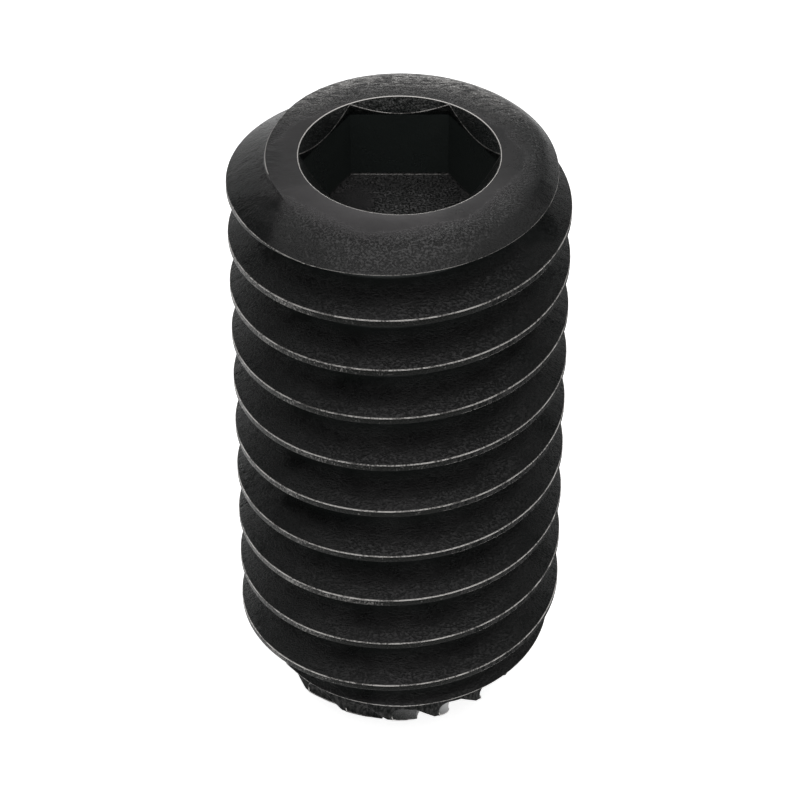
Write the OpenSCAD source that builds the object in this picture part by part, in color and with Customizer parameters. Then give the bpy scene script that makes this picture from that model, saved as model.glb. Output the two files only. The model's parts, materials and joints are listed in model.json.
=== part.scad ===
// Hex socket set screw with a knurled cup point, 5/16-18 thread, 5/8 inch long.
// It stands on its cup point, with the hex socket up. All sizes are in millimetres.

/* [Body] */
// Overall length, from the rim of the cup to the top face
length = 15.875; // [11:0.125:40]
// Major diameter of the thread
major_d = 7.9375; // [7.6:0.0625:8.4]

/* [Thread] */
// Distance between two neighbouring crests
pitch = 1.4111; // [1.2:0.01:1.6]
// Radial depth of the groove, from crest to root
thread_depth = 0.905; // [0.6:0.005:0.95]
// Width of the flat on the crest
crest_w = 0.162; // [0.12:0.002:0.25]
// Slope of each flank against a level plane
flank_angle = 30; // [25:0.5:30]
// Turn of the whole thread about the screw's axis
thread_turn = 268.3; // [0:0.1:360]

/* [Top end] */
// Diameter at which the chamfer, if it were sharp, would meet the top face
top_face_d = 6.55; // [6.2:0.01:7]
// Slope of the chamfer round the top face, against a level plane
top_chamfer_angle = 39; // [30:0.5:45]
// Radius of the soft edge between the top face and its chamfer
shoulder_r = 0.56; // [0.1:0.01:0.8]

/* [Hex socket] */
// Width of the socket across its flats
socket_af = 3.97; // [3:0.01:4.2]
// Depth of the socket below the top face
socket_depth = 2.0; // [1.5:0.05:4]
// Diameter of the countersunk mouth of the socket
mouth_d = 4.62; // [4.3:0.01:5.4]
// Slope of the countersink against a level plane
countersink_angle = 40; // [25:1:50]

/* [Cup point] */
// Outer diameter of the rim that bites into a shaft
rim_d = 4.52; // [4:0.02:5]
// Width of the flat that the rim is worn to
rim_land = 0.05; // [0.02:0.01:0.15]
// Included angle of the drilled cup
cup_angle = 118; // [90:1:140]
// Slope of the point cone that rises from the rim, against a level plane
point_angle = 45; // [35:1:50]
// Slope of the chamfer that ends the thread, against a level plane
thread_end_angle = 45; // [35:1:55]

/* [Knurl] */
// Diameter of the band that carries the teeth
knurl_d = 6.09; // [5.6:0.01:6.12]
// Height of the band above the point cone
band_h = 0.49; // [0.42:0.01:0.8]
// Number of teeth round the point
tooth_count = 16; // [10:1:22]
// Share of each tooth's pitch that the gap between two teeth takes up
gap_share = 0.845; // [0.6:0.005:0.9]
// Height of the gap above the point cone
gap_h = 0.375; // [0.2:0.005:0.4]
// Radius of the hollow behind each tooth's steep side, as a share of the gap's height
hollow_share = 0.627; // [0.52:0.001:0.7]
// Share of the gap's width that its roof spans, from the steep side to the slope's top
roof_share = 0.56; // [0.5:0.01:0.8]
// Drop of the gap's roof from the hollow to the slope's top
roof_drop = 0.05; // [0.02:0.005:0.1]
// Sideways lean of the gaps on their way in to the cup
gap_skew = 14.3; // [0:0.1:20]
// Turn of the whole ring of teeth about the screw's axis
knurl_turn = -2.8; // [-20:0.1:20]

/* [Hidden] */

// Smoothness of turned surfaces, and segments in one turn of the thread and in the small arcs
$fn = 192;
turn_steps = 48;
arc_steps = 6;
// Overlap of a cut with the air that it starts from
cut = 0.1;
// Reach of the knurl's gaps into the air below the point cone, and the steps in which they follow it
gap_air = 0.3;
gap_rings = 4;

major_r = major_d / 2;
root_r = major_r - thread_depth;
top_r = top_face_d / 2;
knurl_r = knurl_d / 2;
rim_r = rim_d / 2;
cup_r = rim_r - rim_land;

// Heights of the turned outline, from the rim up
band_low_z = (knurl_r - rim_r) * tan(point_angle);
band_top_z = band_low_z + band_h;
thread_low_z = band_top_z + (major_r - knurl_r) * tan(thread_end_angle);
thread_top_z = length - (major_r - top_r) * tan(top_chamfer_angle);
cup_depth = cup_r / tan(cup_angle / 2);

// Joins a list of rings of points into a closed skin, with the first and last ring as its ends
function skin_faces(rings, points) = concat(
    [[for (i = [points - 1 : -1 : 0]) i]],
    [for (k = [0 : rings - 2], i = [0 : points - 1])
        [k * points + i, k * points + (i + 1) % points, (k + 1) * points + i]],
    [for (k = [0 : rings - 2], i = [0 : points - 1])
        [k * points + (i + 1) % points, (k + 1) * points + (i + 1) % points, (k + 1) * points + i]],
    [[for (i = [0 : points - 1]) (rings - 1) * points + i]]
);

// Point at a radius, an angle and a height
function polar(r, a, z) = [r * cos(a), r * sin(a), z];

// Arc that rounds the corner between the chamfer and the top face, from the chamfer up
function shoulder() =
    let (set_in = shoulder_r * tan(top_chamfer_angle / 2))
    [for (k = [0 : arc_steps])
        let (a = 90 - top_chamfer_angle * (1 - k / arc_steps))
        [top_r - set_in + shoulder_r * cos(a), length - shoulder_r + shoulder_r * sin(a)]];

// Outline of the blank, turned from bar
module blank() {
    rotate_extrude()
        polygon(concat(
            [
                [0, 0],
                [rim_r, 0],
                [knurl_r, band_low_z],
                [knurl_r, band_top_z],
                [major_r, thread_low_z],
                [major_r, thread_top_z]
            ],
            shoulder(),
            [[0, length]]
        ));
}

// The groove between the crests, as one right-hand helix that runs out of both ends
module thread_groove() {
    root_w = pitch - crest_w - 2 * thread_depth * tan(flank_angle);
    mouth_w = pitch - crest_w + 2 * cut * tan(flank_angle);
    section = [
        [root_r, -root_w / 2],
        [major_r + cut, -mouth_w / 2],
        [major_r + cut, mouth_w / 2],
        [root_r, root_w / 2]
    ];
    steps = ceil((length / pitch + 2) * turn_steps);
    points = [
        for (k = [0 : steps], p = section)
            polar(p[0], k * 360 / turn_steps - thread_turn, p[1] + (k / turn_steps - 1) * pitch)
    ];
    polyhedron(points, skin_faces(steps + 1, len(section)), convexity = 20);
}

// Hex socket with a flat floor and a countersunk mouth
module socket() {
    mouth_r = mouth_d / 2;
    mouth_depth = mouth_r * tan(countersink_angle);
    translate([0, 0, length - socket_depth])
        cylinder(h = socket_depth + cut, r = socket_af / 2 / cos(30), $fn = 6);
    translate([0, 0, length - mouth_depth])
        cylinder(h = mouth_depth + cut, r1 = 0, r2 = mouth_r + cut / tan(countersink_angle));
}

// Drilled cup in the point
module cup() {
    translate([0, 0, -cut])
        cylinder(h = cup_depth + cut, r1 = cup_r + cut * tan(cup_angle / 2), r2 = 0);
}

// Outline of one gap, as [angle, height above the point cone]: a half-round hollow that crosses the cone at
// angle 0, a roof, and a slope that crosses it at the gap's full width and ends in the air below
function gap_outline() =
    let (
        width = 360 / tooth_count * gap_share,
        per_mm = 180 / PI / knurl_r,
        hollow_r = gap_h * hollow_share,
        hollow_h = gap_h - hollow_r,
        hollow_a = sqrt(hollow_r * hollow_r - hollow_h * hollow_h) * per_mm,
        roof_a = width * roof_share,
        roof_h = gap_h - roof_drop,
        slope_run = (width - roof_a) / roof_h
    )
    concat(
        [for (k = [0 : arc_steps])
            let (a = 90 - 180 * k / arc_steps)
            [hollow_a - hollow_r * cos(a) * per_mm, hollow_h - hollow_r * sin(a)]],
        [[roof_a, roof_h], [width + gap_air * slope_run, -gap_air]]
    );

// One gap between two teeth: it follows the point cone in to the cup, leaning sideways
module tooth_gap() {
    outline = gap_outline();
    inner_r = rim_r * 0.8;
    radii = [for (k = [0 : gap_rings]) inner_r + (knurl_r + cut - inner_r) * k / gap_rings];
    lean = gap_skew / (knurl_r - rim_r);
    points = [
        for (r = radii, p = outline)
            polar(r, p[0] + (knurl_r - r) * lean, p[1] + (r - rim_r) * tan(point_angle))
    ];
    polyhedron(points, skin_faces(len(radii), len(outline)), convexity = 6);
}

// The ring of gaps that leaves the teeth standing
module knurl_gaps() {
    for (k = [0 : tooth_count - 1])
        rotate([0, 0, knurl_turn + k * 360 / tooth_count])
            tooth_gap();
}

// The whole screw, which is one piece of blackened steel
module set_screw() {
    color([0.09, 0.09, 0.09])
        difference() {
            blank();
            thread_groove();
            socket();
            cup();
            knurl_gaps();
        }
}

set_screw();
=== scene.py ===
import json
from math import atan2, cos, pi, radians, sin, sqrt, tan

import bpy
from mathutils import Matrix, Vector

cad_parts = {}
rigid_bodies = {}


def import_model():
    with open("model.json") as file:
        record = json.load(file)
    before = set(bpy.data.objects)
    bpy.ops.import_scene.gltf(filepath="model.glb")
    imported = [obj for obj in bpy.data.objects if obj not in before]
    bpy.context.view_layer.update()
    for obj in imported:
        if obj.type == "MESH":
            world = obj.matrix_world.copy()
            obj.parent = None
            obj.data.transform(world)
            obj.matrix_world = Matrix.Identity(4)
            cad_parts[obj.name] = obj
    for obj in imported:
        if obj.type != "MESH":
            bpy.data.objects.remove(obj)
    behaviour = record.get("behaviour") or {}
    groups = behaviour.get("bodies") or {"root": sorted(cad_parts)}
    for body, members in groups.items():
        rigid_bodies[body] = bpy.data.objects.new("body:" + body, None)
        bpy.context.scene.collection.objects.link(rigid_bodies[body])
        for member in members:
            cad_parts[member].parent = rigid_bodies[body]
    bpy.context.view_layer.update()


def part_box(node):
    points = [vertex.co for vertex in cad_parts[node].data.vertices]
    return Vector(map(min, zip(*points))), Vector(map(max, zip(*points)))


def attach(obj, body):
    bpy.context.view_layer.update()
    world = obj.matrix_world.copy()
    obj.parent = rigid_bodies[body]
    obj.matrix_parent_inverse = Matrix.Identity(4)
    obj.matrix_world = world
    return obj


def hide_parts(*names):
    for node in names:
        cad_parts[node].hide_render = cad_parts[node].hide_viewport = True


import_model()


# Threaded bar

# The real screw starts as a length of round alloy steel bar. A right-hand thread
# with 60 degree flanks runs over its whole length, so here one pitch of the
# thread's outline is drawn and swept along its helix, past both ends.

MM = 0.001  # the screw is modelled in millimetres, and brought to metres at the end
low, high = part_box("set_screw")
LENGTH = (high.z - low.z) / MM
MAJOR_R = (high.x - low.x) / 2 / MM
PITCH = 25.4 / 18
THREAD_DEPTH = 0.905
CREST_W = 0.162
FLANK_ANGLE = radians(30)  # of each flank against a level plane
CREST_ROUND = 0.03  # radius that handling has worn on the edges of the crest
ROOT_ROUND = 0.08  # radius at the foot of each flank
CREST_STEPS = 3
ROOT_STEPS = 4
GROOVE_START = PITCH * 268.3 / 360  # height of a groove's middle at angle 0
TURN_STEPS = 120
SPARE_TURNS = 3  # swept past each end of the screw
SPARE = 1.0  # what is drawn past a face that is cut off later
MERGE_DISTANCE = 0.0005


def pick(piece):
    """Selects one object and nothing else."""
    bpy.ops.object.select_all(action="DESELECT")
    piece.select_set(True)
    bpy.context.view_layer.objects.active = piece


def rounded(before, corner, after, radius, steps):
    """The arc of the given radius that joins the lines from before to corner and from corner to after."""
    before, corner, after = Vector(before), Vector(corner), Vector(after)
    back, on = (before - corner).normalized(), (after - corner).normalized()
    half = back.angle(on) / 2
    middle = corner + (back + on).normalized() * radius / sin(half)
    first = (corner + back * radius / tan(half) - middle).normalized()
    last = (corner + on * radius / tan(half) - middle).normalized()
    return [middle + first.slerp(last, k / steps) * radius for k in range(steps + 1)]


def draw_chain(name, points):
    """A new object with one chain of edges through the points, drawn by extruding a single vertex."""
    bpy.ops.object.select_all(action="DESELECT")
    bpy.ops.mesh.primitive_plane_add(size=1)
    piece = bpy.context.object
    piece.name = name
    bpy.ops.object.mode_set(mode="EDIT")
    bpy.ops.mesh.merge(type="CENTER")
    bpy.ops.transform.translate(value=points[0])
    for start, end in zip(points, points[1:]):
        step = [b - a for a, b in zip(start, end)]
        bpy.ops.mesh.extrude_region_move(TRANSFORM_OT_translate={"value": step})
    bpy.ops.object.mode_set(mode="OBJECT")
    return piece


def finish_with(piece, kind, **settings):
    """Puts a modifier on a piece and applies it."""
    pick(piece)
    bpy.ops.object.modifier_add(type=kind)
    modifier = piece.modifiers[-1]
    for name, value in settings.items():
        setattr(modifier, name, value)
    bpy.ops.object.modifier_apply(modifier=modifier.name)


def tidy_mesh(piece):
    """Merges the doubles of a closed mesh and turns its faces outwards."""
    pick(piece)
    bpy.ops.object.mode_set(mode="EDIT")
    bpy.ops.mesh.select_all(action="SELECT")
    bpy.ops.mesh.remove_doubles(threshold=MERGE_DISTANCE)
    bpy.ops.mesh.normals_make_consistent(inside=False)
    bpy.ops.object.mode_set(mode="OBJECT")


root_r = MAJOR_R - THREAD_DEPTH
rise = CREST_W / 2 + THREAD_DEPTH * tan(FLANK_ANGLE)
root_low, foot_low = (root_r, -PITCH / 2), (root_r, -rise)
crest_low, crest_high = (MAJOR_R, -CREST_W / 2), (MAJOR_R, CREST_W / 2)
foot_high, root_high = (root_r, rise), (root_r, PITCH / 2)
on_flank = (0.35, 0.65)  # two points of each flank, as shares of its width
thread_outline = [
    Vector(root_low),
    *rounded(root_low, foot_low, crest_low, ROOT_ROUND, ROOT_STEPS),
    *(Vector(foot_low).lerp(Vector(crest_low), share) for share in on_flank),
    *rounded(foot_low, crest_low, crest_high, CREST_ROUND, CREST_STEPS),
    *rounded(crest_low, crest_high, foot_high, CREST_ROUND, CREST_STEPS),
    *(Vector(crest_high).lerp(Vector(foot_high), share) for share in on_flank),
    *rounded(crest_high, foot_high, root_high, ROOT_ROUND, ROOT_STEPS),
    Vector(root_high),
]
first_crest_z = GROOVE_START + PITCH / 2 - PITCH * (SPARE_TURNS + 1)
screw = draw_chain("set_screw_body", [(r, 0, first_crest_z + h) for r, h in thread_outline])
finish_with(
    screw,
    "SCREW",
    screw_offset=PITCH,
    iterations=int(LENGTH / PITCH) + 2 * SPARE_TURNS,
    steps=TURN_STEPS,
    render_steps=TURN_STEPS,
)
tidy_mesh(screw)
for cut_z, keeps_above in ((-SPARE, True), (LENGTH + SPARE, False)):
    bpy.ops.object.mode_set(mode="EDIT")
    bpy.ops.mesh.select_all(action="SELECT")
    bpy.ops.mesh.bisect(
        plane_co=(0, 0, cut_z),
        plane_no=(0, 0, 1),
        use_fill=True,
        clear_inner=keeps_above,
        clear_outer=not keeps_above,
    )
    bpy.ops.object.mode_set(mode="OBJECT")
tidy_mesh(screw)


# Turned ends

# A lathe faces the bar's ends: a flat top with a soft shoulder and a chamfer, and
# below the last thread a 45 degree chamfer, the plain band for the knurl and the
# cone of the point. The turned outline is spun and the thread is kept inside it.

TOP_CHAMFER = radians(39)  # slope against a level plane
TOP_CORNER_R = 3.275  # where the chamfer, if it were sharp, would meet the top face
SHOULDER_ROUND = 0.56
SHOULDER_STEPS = 10
THREAD_END_SLOPE = radians(45)
POINT_SLOPE = radians(45)
RIM_R = 2.26  # rim of the cup, which the screw stands on
BAND_R = 3.045  # band that carries the knurl's teeth
BAND_H = 0.49
SPIN_STEPS = 240


def cut_with(piece, tool, operation):
    """Keeps or takes away what of the piece lies inside the tool, and deletes the tool."""
    finish_with(piece, "BOOLEAN", object=tool, operation=operation, solver="MANIFOLD")
    bpy.data.objects.remove(tool)


def cone_z(r):
    """Height of the point's cone at a radius."""
    return (r - RIM_R) * tan(POINT_SLOPE)


band_top_z = cone_z(BAND_R) + BAND_H
wide_r = MAJOR_R + SPARE
top_corner = (TOP_CORNER_R, LENGTH)
chamfer_foot = (wide_r, LENGTH - (wide_r - TOP_CORNER_R) * tan(TOP_CHAMFER))
ends_outline = [
    Vector((0, 0)),
    Vector((RIM_R, 0)),
    Vector((BAND_R, cone_z(BAND_R))),
    Vector((BAND_R, band_top_z)),
    Vector((wide_r, band_top_z + (wide_r - BAND_R) * tan(THREAD_END_SLOPE))),
    Vector(chamfer_foot),
    *rounded(chamfer_foot, top_corner, (0, LENGTH), SHOULDER_ROUND, SHOULDER_STEPS),
    Vector((0, LENGTH)),
]
ends = draw_chain("turned_ends", [(r, 0, z) for r, z in ends_outline])
finish_with(ends, "SCREW", steps=SPIN_STEPS, render_steps=SPIN_STEPS)
tidy_mesh(ends)
cut_with(screw, ends, "INTERSECT")


# Hex socket and cup

# The socket for the key is pressed into the top with a flat floor, under a mouth
# that a drill has countersunk. A drill also leaves the cup in the point, and only
# a sharp rim stands round it.

SOCKET_AF = 3.97  # width across the flats
SOCKET_DEPTH = 2.0
MOUTH_R = 2.31
COUNTERSINK = radians(40)  # slope against a level plane
CUP_R = 2.21
CUP_ANGLE = radians(118)  # included

half_side = radians(30)  # half of what one of the six sides spans
bpy.ops.object.select_all(action="DESELECT")
bpy.ops.mesh.primitive_cylinder_add(
    vertices=6,
    radius=SOCKET_AF / 2 / cos(half_side),
    depth=SOCKET_DEPTH + SPARE,
    location=(0, 0, LENGTH + (SPARE - SOCKET_DEPTH) / 2),
    rotation=(0, 0, half_side),
)
cut_with(screw, bpy.context.object, "DIFFERENCE")

mouth_depth = MOUTH_R * tan(COUNTERSINK)
bpy.ops.mesh.primitive_cone_add(
    vertices=SPIN_STEPS,
    radius1=0,
    radius2=MOUTH_R + SPARE / tan(COUNTERSINK),
    depth=mouth_depth + SPARE,
    location=(0, 0, LENGTH + (SPARE - mouth_depth) / 2),
)
cut_with(screw, bpy.context.object, "DIFFERENCE")

cup_depth = CUP_R / tan(CUP_ANGLE / 2)
bpy.ops.mesh.primitive_cone_add(
    vertices=SPIN_STEPS,
    radius1=CUP_R + SPARE * tan(CUP_ANGLE / 2),
    radius2=0,
    depth=cup_depth + SPARE,
    location=(0, 0, (cup_depth - SPARE) / 2),
)
cut_with(screw, bpy.context.object, "DIFFERENCE")


# Knurled point

# Sixteen gaps pressed into the cone leave teeth round the rim. Each gap is one
# hollow with a steep side and a slope, and leans sideways on its way in to the cup.

TOOTH_COUNT = 16
GAP_SHARE = 0.845  # of a tooth's pitch
GAP_H = 0.375  # above the cone
HOLLOW_R = 0.235  # of the half-round hollow at a gap's steep side
ROOF_SHARE = 0.56  # of the gap's width, from the steep side to the slope's top
ROOF_DROP = 0.05
GAP_LEAN = radians(14.3)
KNURL_TURN = radians(-2.8)
GAP_AIR = 0.3  # how far a gap's tool reaches into the air below the cone
GAP_START_R = BAND_R + 0.1  # the tool runs from the air outside the band
GAP_END_R = RIM_R * 0.8  # to the air inside the cup
GAP_RINGS = 6
ARC_STEPS = 10


def gap_turn(r):
    """Angle at which the first gap starts at a radius."""
    return KNURL_TURN + (BAND_R - r) * GAP_LEAN / (BAND_R - RIM_R)


# One gap's outline, as angles and heights above the cone
gap_a = 2 * pi / TOOTH_COUNT * GAP_SHARE
hollow_h = GAP_H - HOLLOW_R
hollow_a = sqrt(HOLLOW_R**2 - hollow_h**2) / BAND_R
roof_a, roof_h = gap_a * ROOF_SHARE, GAP_H - ROOF_DROP
arc = [pi / 2 - pi * k / ARC_STEPS for k in range(ARC_STEPS + 1)]
gap_outline = [(hollow_a - HOLLOW_R * cos(a) / BAND_R, hollow_h - HOLLOW_R * sin(a)) for a in arc]
gap_outline += [(roof_a, roof_h), (gap_a + GAP_AIR * (gap_a - roof_a) / roof_h, -GAP_AIR)]

start_turn, start_z = gap_turn(GAP_START_R), cone_z(GAP_START_R)
gaps = draw_chain(
    "knurl_gaps",
    [
        (GAP_START_R * cos(a + start_turn), GAP_START_R * sin(a + start_turn), start_z + h)
        for a, h in gap_outline
    ],
)
bpy.ops.object.mode_set(mode="EDIT")
bpy.ops.mesh.select_all(action="SELECT")
bpy.ops.mesh.edge_face_add()
ring_step = (GAP_START_R - GAP_END_R) / GAP_RINGS
ring_fall = ring_step * tan(POINT_SLOPE)
ring_turn = ring_step * GAP_LEAN / (BAND_R - RIM_R)
for ring in range(GAP_RINGS):
    r = GAP_START_R - ring * ring_step
    shrink = (r - ring_step) / r
    bpy.ops.mesh.extrude_region_move(TRANSFORM_OT_translate={"value": (0, 0, -ring_fall)})
    bpy.ops.transform.resize(value=(shrink, shrink, 1), center_override=(0, 0, 0))
    bpy.ops.transform.rotate(value=-ring_turn, orient_axis="Z", center_override=(0, 0, 0))
bpy.ops.object.mode_set(mode="OBJECT")
tidy_mesh(gaps)
for k in range(1, TOOTH_COUNT):
    pick(gaps)
    bpy.ops.object.duplicate()
    bpy.context.object.rotation_euler.z = 2 * pi * k / TOOTH_COUNT
    bpy.ops.object.transform_apply(rotation=True)
bpy.ops.object.select_pattern(pattern="knurl_gaps*", extend=False)
bpy.context.view_layer.objects.active = gaps
bpy.ops.object.join()
cut_with(screw, gaps, "DIFFERENCE")
tidy_mesh(screw)


# Finish of the screw

# Hot black oxide on heat treated steel: a thin, near black skin with a dull shine,
# over the fine pits that heat treatment and tumbling leave. Handling has rubbed it
# through to bare steel along the sharp edges, as thin bright lines.

EDGE_WEAR = 0.013  # width of each face of a rubbed edge
EDGE_ANGLE = radians(25)  # the least turn of an edge that gets rubbed
SHADE_ANGLE = radians(35)  # the least turn of an edge that looks sharp
TOP_DEPTH = 0.6  # how far the faced and chamfered top reaches down
RING_DEPTH = 0.2  # how far the faced ring and its shoulder reach down
COUNTERSUNK_DEPTH = 0.3
FLOOR_Z = LENGTH - SOCKET_DEPTH
RUN_OUT_DEPTH = 0.3  # how far down the top the thread's run-out reaches
ON_FACE = 0.05  # what lies this close to a flat face counts as on it
ROOT_END_R = 3.1  # thick oxide lies in the thread's root up to here
FLANK_START_R = 3.4  # and none from here on
# Smooth, dark places on the chamfer's left and right and on the socket's floor: centre and reach
SMOOTH_PLACES = (
    ((-3.4, -1.9, 15.3), 0.95),
    ((3.0, -1.3, 15.3), 0.7),
    ((-1.1, 1.1, FLOOR_Z), 0.5),
)


def linear(hex_colour):
    """An sRGB hex colour as linear red, green, blue and alpha."""
    channels = [int(hex_colour[i : i + 2], 16) / 255 for i in (0, 2, 4)]
    return (*(c / 12.92 if c <= 0.04045 else ((c + 0.055) / 1.055) ** 2.4 for c in channels), 1)


def add_node(owner, kind, inputs=None, **settings):
    """Adds a node with its settings. An input goes by name or number, and is a value or another socket."""
    node = owner.node_tree.nodes.new(kind)
    for name, value in settings.items():
        setattr(node, name, value)
    for name, value in (inputs or {}).items():
        if isinstance(value, bpy.types.NodeSocket):
            owner.node_tree.links.new(value, node.inputs[name])
        else:
            node.inputs[name].default_value = value
    return node


def new_material(name):
    """An empty node material, and its Object coordinates in millimetres."""
    material = bpy.data.materials.new(name)
    material.use_nodes = True
    material.node_tree.nodes.clear()
    place = add_node(material, "ShaderNodeTexCoord").outputs["Object"]
    scaled = add_node(material, "ShaderNodeVectorMath", {0: place, "Scale": 1 / MM}, operation="SCALE")
    return material, scaled.outputs[0]


# Of a Mix node's outputs, 0 is the number, 1 the vector and 2 the colour
oxide, in_mm = new_material("black_oxide_steel")
x, y, z = add_node(oxide, "ShaderNodeSeparateXYZ", {0: in_mm}).outputs
level = add_node(oxide, "ShaderNodeVectorMath", {0: in_mm, 1: (1, 1, 0)}, operation="MULTIPLY").outputs[0]
radius = add_node(oxide, "ShaderNodeVectorMath", {0: level}, operation="LENGTH").outputs[1]
across = add_node(oxide, "ShaderNodeMath", {0: x}, operation="ABSOLUTE").outputs[0]

# Zones of the surface, each 1 inside and 0 outside, the last two with a soft border
in_socket = add_node(oxide, "ShaderNodeMath", {0: radius, 1: MOUTH_R}, operation="LESS_THAN").outputs[0]
mouth_z = LENGTH - COUNTERSUNK_DEPTH
below_mouth = add_node(oxide, "ShaderNodeMath", {0: z, 1: mouth_z}, operation="LESS_THAN").outputs[0]
deep = add_node(oxide, "ShaderNodeMath", {0: in_socket, 1: below_mouth}, operation="MULTIPLY").outputs[0]
countersunk = add_node(oxide, "ShaderNodeMath", {0: in_socket, 1: deep}, operation="SUBTRACT").outputs[0]
off_floor = add_node(
    oxide, "ShaderNodeMath", {0: z, 1: FLOOR_Z + ON_FACE}, operation="GREATER_THAN"
).outputs[0]
socket_wall = add_node(oxide, "ShaderNodeMath", {0: deep, 1: off_floor}, operation="MULTIPLY").outputs[0]
top_end = add_node(
    oxide, "ShaderNodeMath", {0: z, 1: LENGTH - TOP_DEPTH}, operation="GREATER_THAN"
).outputs[0]
on_top = add_node(oxide, "ShaderNodeMath", {0: top_end, 1: in_socket}, operation="MAXIMUM").outputs[0]
on_ring = add_node(
    oxide, "ShaderNodeMath", {0: z, 1: LENGTH - RING_DEPTH}, operation="GREATER_THAN"
).outputs[0]
at_back = add_node(oxide, "ShaderNodeMapRange", {"Value": y, "From Min": 1.0, "From Max": 3.0}).outputs[0]
at_side = add_node(
    oxide,
    "ShaderNodeMapRange",
    {"Value": across, "From Min": 2.4, "From Max": 3.4},
    interpolation_type="SMOOTHSTEP",
).outputs[0]

# Patches about 1.7 mm across, which also make the borders of the other marks ragged
PATCHES_PER_MM = 0.6
patch = add_node(
    oxide,
    "ShaderNodeTexNoise",
    {"Vector": in_mm, "Scale": PATCHES_PER_MM, "Detail": 6, "Roughness": 0.65},
).outputs[0]

# How pitted the turned top is: not at all on the faced ring in front of the socket and at its left, and
# fully on the chamfer and behind the socket. The pits start at a radius that bends in towards the back
# and the right
behind = add_node(oxide, "ShaderNodeMath", {0: y, 1: 0.0}, operation="MAXIMUM").outputs[0]
bent_r = add_node(
    oxide, "ShaderNodeMath", {0: behind, 1: 0.4, 2: radius}, operation="MULTIPLY_ADD"
).outputs[0]
bent_r = add_node(oxide, "ShaderNodeMath", {0: x, 1: 0.07, 2: bent_r}, operation="MULTIPLY_ADD").outputs[0]
bent_r = add_node(
    oxide, "ShaderNodeMath", {0: patch, 1: 1.2, 2: bent_r}, operation="MULTIPLY_ADD"
).outputs[0]
pitted = add_node(
    oxide,
    "ShaderNodeMapRange",
    {"Value": bent_r, "From Min": 3.42, "From Max": 3.95},
    interpolation_type="SMOOTHSTEP",
).outputs[0]
# The socket is fully pitted on its floor and little on its walls
pitted = add_node(oxide, "ShaderNodeMath", {0: pitted, 1: in_socket}, operation="MAXIMUM").outputs[0]
off_wall = add_node(
    oxide, "ShaderNodeMapRange", {"Value": socket_wall, "To Min": 1.0, "To Max": 0.1}
).outputs[0]
pitted = add_node(oxide, "ShaderNodeMath", {0: pitted, 1: off_wall}, operation="MULTIPLY").outputs[0]
# The thread's flanks are pitted more or less, and its roots the least
flank = add_node(
    oxide,
    "ShaderNodeMapRange",
    {"Value": patch, "From Min": 0.4, "From Max": 0.6, "To Min": 0.2, "To Max": 0.65},
).outputs[0]
off_root = add_node(
    oxide,
    "ShaderNodeMapRange",
    {"Value": radius, "From Min": ROOT_END_R, "From Max": FLANK_START_R, "To Min": 0.3, "To Max": 1.0},
).outputs[0]
flank = add_node(oxide, "ShaderNodeMath", {0: flank, 1: off_root}, operation="MULTIPLY").outputs[0]
flank = add_node(oxide, "ShaderNodeMath", {0: flank, 1: on_top}, operation="MAXIMUM").outputs[0]
pitted = add_node(oxide, "ShaderNodeMath", {0: pitted, 1: flank}, operation="MULTIPLY").outputs[0]
# The smooth places have nearly no pits, and ragged borders
smooth = 0.0
for centre, reach in SMOOTH_PLACES:
    apart = add_node(oxide, "ShaderNodeVectorMath", {0: in_mm, 1: centre}, operation="DISTANCE").outputs[1]
    ragged = add_node(
        oxide, "ShaderNodeMath", {0: patch, 1: 1.6, 2: apart}, operation="MULTIPLY_ADD"
    ).outputs[0]
    inside = add_node(
        oxide,
        "ShaderNodeMapRange",
        {"Value": ragged, "From Min": reach + 1.0, "From Max": reach + 0.6},
        interpolation_type="SMOOTHSTEP",
    ).outputs[0]
    smooth = add_node(oxide, "ShaderNodeMath", {0: smooth, 1: inside}, operation="MAXIMUM").outputs[0]
kept_rough = add_node(
    oxide, "ShaderNodeMapRange", {"Value": smooth, "To Min": 1.0, "To Max": 0.15}
).outputs[0]
pitted = add_node(oxide, "ShaderNodeMath", {0: pitted, 1: kept_rough}, operation="MULTIPLY").outputs[0]

# Pits 0.04 mm across, drawn out along X, on the thread more than on the top. Their heights are taken from
# the grain's mean, so that no step shows where pitted skin meets smooth skin
PITS_PER_MM = 25
PIT_DEPTH = 0.025
MEAN_GRAIN = 0.66
drawn = add_node(
    oxide,
    "ShaderNodeMix",
    {"Factor": on_top, "A": (0.6, 1, 1), "B": (0.8, 1, 1)},
    data_type="VECTOR",
).outputs[1]
drawn_out = add_node(oxide, "ShaderNodeVectorMath", {0: in_mm, 1: drawn}, operation="MULTIPLY").outputs[0]
grain = add_node(
    oxide,
    "ShaderNodeTexNoise",
    {"Vector": drawn_out, "Scale": PITS_PER_MM, "Detail": 3, "Roughness": 0.65},
).outputs[0]
grain = add_node(
    oxide, "ShaderNodeMapRange", {"Value": grain, "From Min": 0.35, "From Max": 0.53}
).outputs[0]
relief = add_node(oxide, "ShaderNodeMath", {0: grain, 1: MEAN_GRAIN}, operation="SUBTRACT").outputs[0]
relief = add_node(oxide, "ShaderNodeMath", {0: relief, 1: pitted}, operation="MULTIPLY").outputs[0]
pit_bump = add_node(oxide, "ShaderNodeBump", {"Height": relief, "Distance": PIT_DEPTH * MM}).outputs[0]

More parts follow.
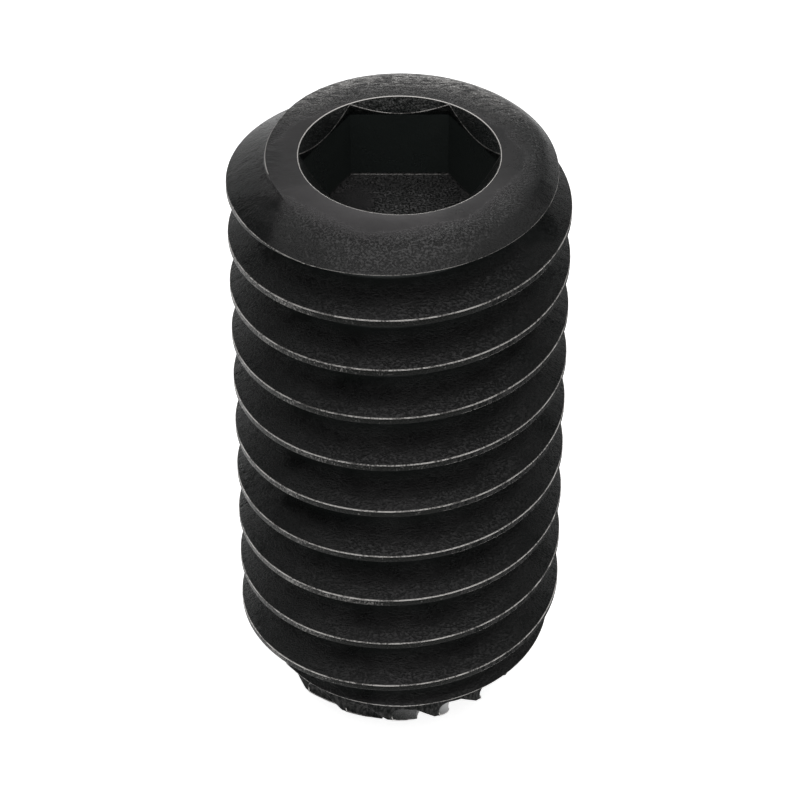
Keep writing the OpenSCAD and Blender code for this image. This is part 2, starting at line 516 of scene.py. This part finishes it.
# Low waves 0.4 mm across, as on leather, which turn to streaks 0.2 mm wide along X towards both sides, and
# are weakest on the smooth ring
WAVES_PER_MM = 2.4
STREAKS_PER_MM = 5
WAVE_DEPTH = 0.045
waves = add_node(
    oxide,
    "ShaderNodeTexNoise",
    {"Vector": in_mm, "Scale": WAVES_PER_MM, "Detail": 4, "Roughness": 0.6},
).outputs[0]
along_x = add_node(
    oxide, "ShaderNodeVectorMath", {0: in_mm, 1: (0.3, 1, 1)}, operation="MULTIPLY"
).outputs[0]
streaks = add_node(
    oxide,
    "ShaderNodeTexNoise",
    {"Vector": along_x, "Scale": STREAKS_PER_MM, "Detail": 4, "Roughness": 0.6},
).outputs[0]
swell = add_node(oxide, "ShaderNodeMix", {"Factor": at_side, "A": waves, "B": streaks}).outputs[0]
swell = add_node(oxide, "ShaderNodeMath", {0: swell, 1: 0.5}, operation="SUBTRACT").outputs[0]
leathery = add_node(
    oxide, "ShaderNodeMapRange", {"Value": at_side, "To Min": 0.12, "To Max": 0.95}
).outputs[0]
leathery = add_node(oxide, "ShaderNodeMath", {0: leathery, 1: pitted}, operation="MAXIMUM").outputs[0]
swell = add_node(oxide, "ShaderNodeMath", {0: swell, 1: leathery}, operation="MULTIPLY").outputs[0]
wave_bump = add_node(
    oxide,
    "ShaderNodeBump",
    {"Height": swell, "Normal": pit_bump, "Distance": WAVE_DEPTH * MM},
).outputs[0]

# The tone differs from patch to patch and is lighter on the top, and darker in the smooth places. Painted
# light makes the pitted top lighter in its middle than towards both sides. Painted shade darkens the pits,
# most inside the socket, with painted light on the bumps between them, and the countersink and both sides
tone_and_painted_shade = add_node(
    oxide,
    "ShaderNodeMapRange",
    {"Value": patch, "From Min": 0.35, "From Max": 0.65, "To Min": 0.17, "To Max": 0.29},
).outputs[0]
tone_and_painted_shade = add_node(oxide, "ShaderNodeMath", {0: on_top, 1: 0.07, 2: tone_and_painted_shade}, operation="MULTIPLY_ADD").outputs[0]
# Painted light: the pitted top is lighter in its middle and a little darker towards both sides
painted_light_middle = add_node(
    oxide, "ShaderNodeMapRange", {"Value": at_side, "To Min": 0.2, "To Max": -0.04}
).outputs[0]
painted_light_middle = add_node(oxide, "ShaderNodeMath", {0: painted_light_middle, 1: on_top}, operation="MULTIPLY").outputs[0]
tone_and_painted_shade = add_node(
    oxide, "ShaderNodeMath", {0: pitted, 1: painted_light_middle, 2: tone_and_painted_shade}, operation="MULTIPLY_ADD"
).outputs[0]
# Painted shade in the pits and painted light on the bumps, strongest inside the socket
pit_shade_strength = add_node(oxide, "ShaderNodeMapRange", {"Value": deep, "To Min": 0.24, "To Max": 1.3}).outputs[0]
tone_and_painted_shade = add_node(
    oxide, "ShaderNodeMath", {0: relief, 1: pit_shade_strength, 2: tone_and_painted_shade}, operation="MULTIPLY_ADD"
).outputs[0]
# Painted shade on the countersink
tone_and_painted_shade = add_node(
    oxide, "ShaderNodeMath", {0: countersunk, 1: -0.5, 2: tone_and_painted_shade}, operation="MULTIPLY_ADD"
).outputs[0]
tone_and_painted_shade = add_node(
    oxide, "ShaderNodeMath", {0: smooth, 1: -0.07, 2: tone_and_painted_shade}, operation="MULTIPLY_ADD"
).outputs[0]
# Painted shade towards both sides
tone_and_painted_shade = add_node(
    oxide, "ShaderNodeMath", {0: across, 1: -0.045, 2: tone_and_painted_shade}, operation="MULTIPLY_ADD"
).outputs[0]
light_oxide = add_node(
    oxide,
    "ShaderNodeMix",
    {"Factor": pitted, "A": linear("5f5a5c"), "B": linear("5b5a5a")},
    data_type="RGBA",
).outputs[2]
skin_colour = add_node(
    oxide,
    "ShaderNodeMix",
    {"Factor": tone_and_painted_shade, "A": linear("0e1211"), "B": light_oxide},
    data_type="RGBA",
).outputs[2]

# The oil that seals black oxide has stayed on the socket's walls, and gives them a grey-green cast
skin_colour = add_node(
    oxide,
    "ShaderNodeMix",
    {"Factor": socket_wall, "A": skin_colour, "B": linear("484e4c")},
    data_type="RGBA",
).outputs[2]

# Painted glints behind the socket: bright streaks 0.07 mm wide on the ring, most of all near its outside
GLINT_STREAKS_PER_MM = 14
painted_glint_back = add_node(
    oxide,
    "ShaderNodeTexNoise",
    {"Vector": along_x, "Scale": GLINT_STREAKS_PER_MM, "Detail": 4, "Roughness": 0.65},
).outputs[0]
painted_glint_back = add_node(
    oxide, "ShaderNodeMapRange", {"Value": painted_glint_back, "From Min": 0.4, "From Max": 0.58}
).outputs[0]
painted_glint_back = add_node(
    oxide, "ShaderNodeMath", {0: painted_glint_back, 1: at_back}, operation="MULTIPLY"
).outputs[0]
outer = add_node(
    oxide,
    "ShaderNodeMapRange",
    {"Value": radius, "From Min": 2.5, "From Max": 3.2, "To Min": 0.15, "To Max": 1.0},
).outputs[0]
painted_glint_back = add_node(oxide, "ShaderNodeMath", {0: painted_glint_back, 1: outer}, operation="MULTIPLY").outputs[0]
painted_glint_back = add_node(
    oxide, "ShaderNodeMath", {0: painted_glint_back, 1: on_ring}, operation="MULTIPLY"
).outputs[0]
skin_colour = add_node(
    oxide,
    "ShaderNodeMix",
    {"Factor": painted_glint_back, "A": skin_colour, "B": linear("b0aeac")},
    data_type="RGBA",
).outputs[2]

# The oxide lies thicker, duller and greener in the roots of the thread, and least steel shines through it
film = add_node(
    oxide,
    "ShaderNodeMapRange",
    {"Value": radius, "From Min": ROOT_END_R, "From Max": FLANK_START_R, "To Min": 0.25, "To Max": 0.75},
).outputs[0]
film = add_node(oxide, "ShaderNodeMath", {0: film, 1: on_top}, operation="MAXIMUM").outputs[0]
film = add_node(oxide, "ShaderNodeMath", {0: film, 1: 0.75}, operation="MINIMUM").outputs[0]
greener = add_node(
    oxide,
    "ShaderNodeMapRange",
    {"Value": film, "From Min": 0.25, "From Max": 0.75, "To Min": 0.7, "To Max": 0.0},
).outputs[0]
skin_colour = add_node(
    oxide,
    "ShaderNodeMix",
    {"Factor": greener, "A": skin_colour, "B": linear("2d3331")},
    data_type="RGBA",
).outputs[2]

# The skin's dull shine differs a little from patch to patch
skin_roughness = add_node(
    oxide,
    "ShaderNodeMapRange",
    {"Value": patch, "From Min": 0.3, "From Max": 0.7, "To Min": 0.25, "To Max": 0.35},
).outputs[0]
skin = add_node(
    oxide,
    "ShaderNodeBsdfPrincipled",
    {"Base Color": skin_colour, "Metallic": film, "Roughness": skin_roughness, "Normal": wave_bump},
)
add_node(oxide, "ShaderNodeOutputMaterial", {"Surface": skin.outputs[0]})

# Knurl: pressed after turning, its hollows hold loose oxide, so it is matt and nearly without a shine, with
# upright scrapes 0.08 mm wide. Its darkness is also painted shade, where the point stands close over the
# table
SCRAPES_PER_MM = 12
SCRAPE_DEPTH = 0.08
soot_and_shade_oxide, in_mm = new_material("sooty_black_oxide_and_painted_shade")
upright = add_node(
    soot_and_shade_oxide, "ShaderNodeVectorMath", {0: in_mm, 1: (1, 1, 0.4)}, operation="MULTIPLY"
).outputs[0]
scrape = add_node(
    soot_and_shade_oxide,
    "ShaderNodeTexNoise",
    {"Vector": upright, "Scale": SCRAPES_PER_MM, "Detail": 5, "Roughness": 0.7},
).outputs[0]
soot = add_node(
    soot_and_shade_oxide, "ShaderNodeMapRange", {"Value": scrape, "From Min": 0.4, "From Max": 0.7}
).outputs[0]
soot_colour = add_node(
    soot_and_shade_oxide,
    "ShaderNodeMix",
    {"Factor": soot, "A": linear("0f1211"), "B": linear("484747")},
    data_type="RGBA",
).outputs[2]
scrape_bump = add_node(
    soot_and_shade_oxide, "ShaderNodeBump", {"Height": scrape, "Distance": SCRAPE_DEPTH * MM}
).outputs[0]
soot_and_shade_bsdf = add_node(
    soot_and_shade_oxide,
    "ShaderNodeBsdfPrincipled",
    {"Base Color": soot_colour, "Roughness": 0.8, "Specular IOR Level": 0.05, "Normal": scrape_bump},
)
add_node(soot_and_shade_oxide, "ShaderNodeOutputMaterial", {"Surface": soot_and_shade_bsdf.outputs[0]})

# Edges: bare steel in a thin line of beads 0.045 mm long, broken where the oxide has stayed, every half
# millimetre or so, but whole round the mouth
RUBS_PER_MM = 2
BEADS_PER_MM = 22
worn_steel, in_mm = new_material("worn_edge_steel")
rub = add_node(
    worn_steel,
    "ShaderNodeTexNoise",
    {"Vector": in_mm, "Scale": RUBS_PER_MM, "Detail": 3, "Roughness": 0.5},
).outputs[0]
beads = add_node(
    worn_steel,
    "ShaderNodeTexNoise",
    {"Vector": in_mm, "Scale": BEADS_PER_MM, "Detail": 3, "Roughness": 0.65},
).outputs[0]
bare = add_node(
    worn_steel, "ShaderNodeMath", {0: rub, 1: 0.9, 2: beads}, operation="MULTIPLY_ADD"
).outputs[0]
bare = add_node(
    worn_steel,
    "ShaderNodeMapRange",
    {"Value": bare, "From Min": 0.8, "From Max": 1.02, "To Min": 0.12, "To Max": 1.0},
).outputs[0]
z = add_node(worn_steel, "ShaderNodeSeparateXYZ", {0: in_mm}).outputs[2]
mouth = add_node(
    worn_steel, "ShaderNodeMath", {0: z, 1: LENGTH - ON_FACE}, operation="GREATER_THAN"
).outputs[0]
bare = add_node(worn_steel, "ShaderNodeMath", {0: bare, 1: mouth}, operation="MAXIMUM").outputs[0]
rubbed_colour = add_node(
    worn_steel,
    "ShaderNodeMix",
    {"Factor": bare, "A": linear("2c2b2b"), "B": linear("c2bfbc")},
    data_type="RGBA",
).outputs[2]
rubbed = add_node(
    worn_steel,
    "ShaderNodeBsdfPrincipled",
    {"Base Color": rubbed_colour, "Metallic": 1.0, "Roughness": 0.4},
)
add_node(worn_steel, "ShaderNodeOutputMaterial", {"Surface": rubbed.outputs[0]})

# Crests and a few of the teeth: the oxide is rubbed thin in upright speckles 0.04 mm wide, over stretches
# of a millimetre or two, and more of them towards the left as painted light
SPECKLES_PER_MM = 26
STRETCHES_PER_MM = 0.7
SPECKLE_DEPTH = 0.03
rubbed_crest, in_mm = new_material("rubbed_crest_steel")
upright = add_node(
    rubbed_crest, "ShaderNodeVectorMath", {0: in_mm, 1: (1, 1, 0.6)}, operation="MULTIPLY"
).outputs[0]
speckle = add_node(
    rubbed_crest,
    "ShaderNodeTexNoise",
    {"Vector": upright, "Scale": SPECKLES_PER_MM, "Detail": 3, "Roughness": 0.7},
).outputs[0]
stretch = add_node(
    rubbed_crest, "ShaderNodeTexNoise", {"Vector": in_mm, "Scale": STRETCHES_PER_MM, "Detail": 2}
).outputs[0]
x = add_node(rubbed_crest, "ShaderNodeSeparateXYZ", {0: in_mm}).outputs[0]
# Painted light: more speckles towards the left
stretch = add_node(
    rubbed_crest, "ShaderNodeMath", {0: x, 1: -0.08, 2: stretch}, operation="MULTIPLY_ADD"
).outputs[0]
thin = add_node(
    rubbed_crest, "ShaderNodeMath", {0: stretch, 1: 0.5, 2: speckle}, operation="MULTIPLY_ADD"
).outputs[0]
thin = add_node(
    rubbed_crest, "ShaderNodeMapRange", {"Value": thin, "From Min": 0.87, "From Max": 1.09}
).outputs[0]
crest_colour = add_node(
    rubbed_crest,
    "ShaderNodeMix",
    {"Factor": thin, "A": linear("171817"), "B": linear("868482")},
    data_type="RGBA",
).outputs[2]
crest_bump = add_node(
    rubbed_crest, "ShaderNodeBump", {"Height": speckle, "Distance": SPECKLE_DEPTH * MM}
).outputs[0]
crest = add_node(
    rubbed_crest,
    "ShaderNodeBsdfPrincipled",
    {"Base Color": crest_colour, "Metallic": 1.0, "Roughness": 0.45, "Normal": crest_bump},
)
add_node(rubbed_crest, "ShaderNodeOutputMaterial", {"Surface": crest.outputs[0]})

screw.data.materials.clear()
for material in (oxide, worn_steel, rubbed_crest, soot_and_shade_oxide):
    screw.data.materials.append(material)
SKIN, WORN, THIN, SOOT_AND_SHADE = range(4)  # the materials' places in that order
finish_with(
    screw,
    "BEVEL",
    width=EDGE_WEAR,
    segments=2,
    limit_method="ANGLE",
    angle_limit=EDGE_ANGLE,
    use_clamp_overlap=False,
    material=WORN,
)
for face in screw.data.polygons:
    at, facing = face.center, face.normal
    r = at.xy.length
    # The crest's upper edge is bare and its face rubbed thin. At the right both its edges are bare and its
    # face takes the dark matt skin as painted shade, from a place that differs from turn to turn
    on_crest = r > MAJOR_R - 0.02
    at_right = at.x >= 1.5 + 0.5 * sin(5 * at.z)
    upper_edge, lower_edge = facing.z > 0.12, facing.z < -0.3
    if on_crest and face.material_index == SKIN:
        if upper_edge or (lower_edge and at_right):
            face.material_index = WORN
        else:
            face.material_index = SOOT_AND_SHADE if at_right else THIN
    # The edge where the thread runs out into the top is rubbed only at its back
    on_run_out = MOUTH_R + 0.1 < r < MAJOR_R - 0.4 and at.z > LENGTH - RUN_OUT_DEPTH
    if on_run_out and at.y < -0.8:
        face.material_index = SKIN
    # In the socket only the mouth's edges and the back edge of the floor are rubbed
    socket_side = r < MOUTH_R and at.z > LENGTH / 2
    mouth_edge = facing.z >= 0.2 and at.z >= LENGTH - 0.6 * SOCKET_DEPTH
    back_of_floor = at.y > 0.95 * SOCKET_AF / 2 and at.z < FLOOR_Z + 0.1
    if socket_side and not mouth_edge and not back_of_floor:
        face.material_index = SKIN
    # On the knurl only the tips of the teeth are bare, and the other edges rubbed thin. Hollows in front
    # are rubbed thin as painted reflection, those at the right plain, and the rest sooty, which is partly
    # painted shade
    if r > RIM_R and at.z < band_top_z - 0.02:
        above_cone = at.z - cone_z(r)
        along_tooth = (atan2(at.y, at.x) - gap_turn(r)) / (2 * pi / TOOTH_COUNT) % 1
        on_tip = above_cone < 0.15 and (along_tooth > 0.96 or along_tooth < 0.08)
        in_hollow = above_cone >= 0.02 and r <= BAND_R - 0.01
        if face.material_index == WORN and not on_tip:
            face.material_index = THIN
        elif face.material_index == SKIN and (not in_hollow or at.x < -0.2):
            face.material_index = SOOT_AND_SHADE
        # Painted reflection: the hollows in front take the lighter rubbed steel
        elif face.material_index == SKIN and at.x < 0.7:
            face.material_index = THIN
pick(screw)
bpy.ops.object.shade_smooth_by_angle(angle=SHADE_ANGLE)
screw.scale = (MM, MM, MM)
bpy.ops.object.transform_apply(scale=True)
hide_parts("set_screw")
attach(screw, "root")


# Table and light

# The screw stands on a plain white table, which glows a little round it, so that
# nearly no shadow shows. One large soft lamp hangs overhead and a small one stands
# behind, and the room is bright near the horizon and dim above.

TABLE_SIDE = 1.2  # in metres
FULL_GLOW = 20  # the table glows fully up to this far from the screw, in millimetres
FAINT_GLOW = 80  # and hardly from here on

bpy.ops.mesh.primitive_plane_add(size=TABLE_SIDE, location=(0, 0, 0))
table = bpy.context.object
table.name = "table"
glowing_white_table, in_mm = new_material("matt_white_paint_with_painted_glow")
away = add_node(glowing_white_table, "ShaderNodeVectorMath", {0: in_mm}, operation="LENGTH").outputs[1]
# Painted light: the table glows most near the screw, which washes out the screw's shadow
glow = add_node(
    glowing_white_table,
    "ShaderNodeMapRange",
    {"Value": away, "From Min": FULL_GLOW, "From Max": FAINT_GLOW, "To Min": 0.85, "To Max": 0.05},
    interpolation_type="SMOOTHSTEP",
).outputs[0]
glowing_paint = add_node(
    glowing_white_table,
    "ShaderNodeBsdfPrincipled",
    {
        "Base Color": linear("f2f2f2"),
        "Roughness": 0.9,
        "Emission Color": linear("ffffff"),
        "Emission Strength": glow,
    },
)
add_node(glowing_white_table, "ShaderNodeOutputMaterial", {"Surface": glowing_paint.outputs[0]})
table.data.materials.append(glowing_white_table)

room = bpy.data.worlds.new("light_tent")
bpy.context.scene.world = room
room.use_nodes = True
sky = room.node_tree.nodes["Background"]
sky.inputs["Strength"].default_value = 1.0
direction = add_node(room, "ShaderNodeTexCoord").outputs["Generated"]
upwards = add_node(room, "ShaderNodeSeparateXYZ", {0: direction}).outputs[2]
brightness = add_node(
    room,
    "ShaderNodeMapRange",
    {"Value": upwards, "From Min": 0.0, "From Max": 0.12, "To Min": 1.0, "To Max": 0.18},
    interpolation_type="SMOOTHSTEP",
).outputs[0]
room.node_tree.links.new(brightness, sky.inputs["Color"])


def soft_lamp(name, place, aim, size, watts):
    """Adds a rectangular lamp at a place in metres, turned to its aim."""
    bpy.ops.object.light_add(type="AREA", location=place)
    lamp = bpy.context.object
    lamp.name = name
    lamp.data.shape = "RECTANGLE"
    lamp.data.size, lamp.data.size_y = size
    lamp.data.energy = watts
    lamp.rotation_euler = (Vector(aim) - Vector(place)).to_track_quat("-Z", "Y").to_euler()


middle_of_screw = (0, 0, 0.008)
soft_lamp("lamp_overhead", place=(0, 0.01, 0.21), aim=(0, 0.01, 0), size=(0.34, 0.54), watts=0.557)
soft_lamp("lamp_behind", place=(0, 0.24, 0.10), aim=middle_of_screw, size=(0.12, 0.06), watts=0.05)


# Camera

# It looks down on the screw by about 40 degrees, from the distance and with the
# lens that the photograph's perspective gives.

CAMERA_ELEVATION = radians(39.726)
CAMERA_DISTANCE = 80.514 * MM
CAMERA_AIM = Vector((0.011, 0, 8.612)) * MM
CAMERA_LENS = 150.446
SENSOR_W = 36

bpy.ops.object.camera_add()
camera = bpy.context.object
camera.data.sensor_width = SENSOR_W
camera.data.lens = CAMERA_LENS
camera.data.clip_start = MM
away_from_aim = Vector((0, -cos(CAMERA_ELEVATION), sin(CAMERA_ELEVATION)))
camera.location = CAMERA_AIM + CAMERA_DISTANCE * away_from_aim
camera.rotation_euler = (pi / 2 - CAMERA_ELEVATION, 0, 0)
bpy.context.scene.camera = camera
bpy.context.scene.view_settings.view_transform = "Standard"
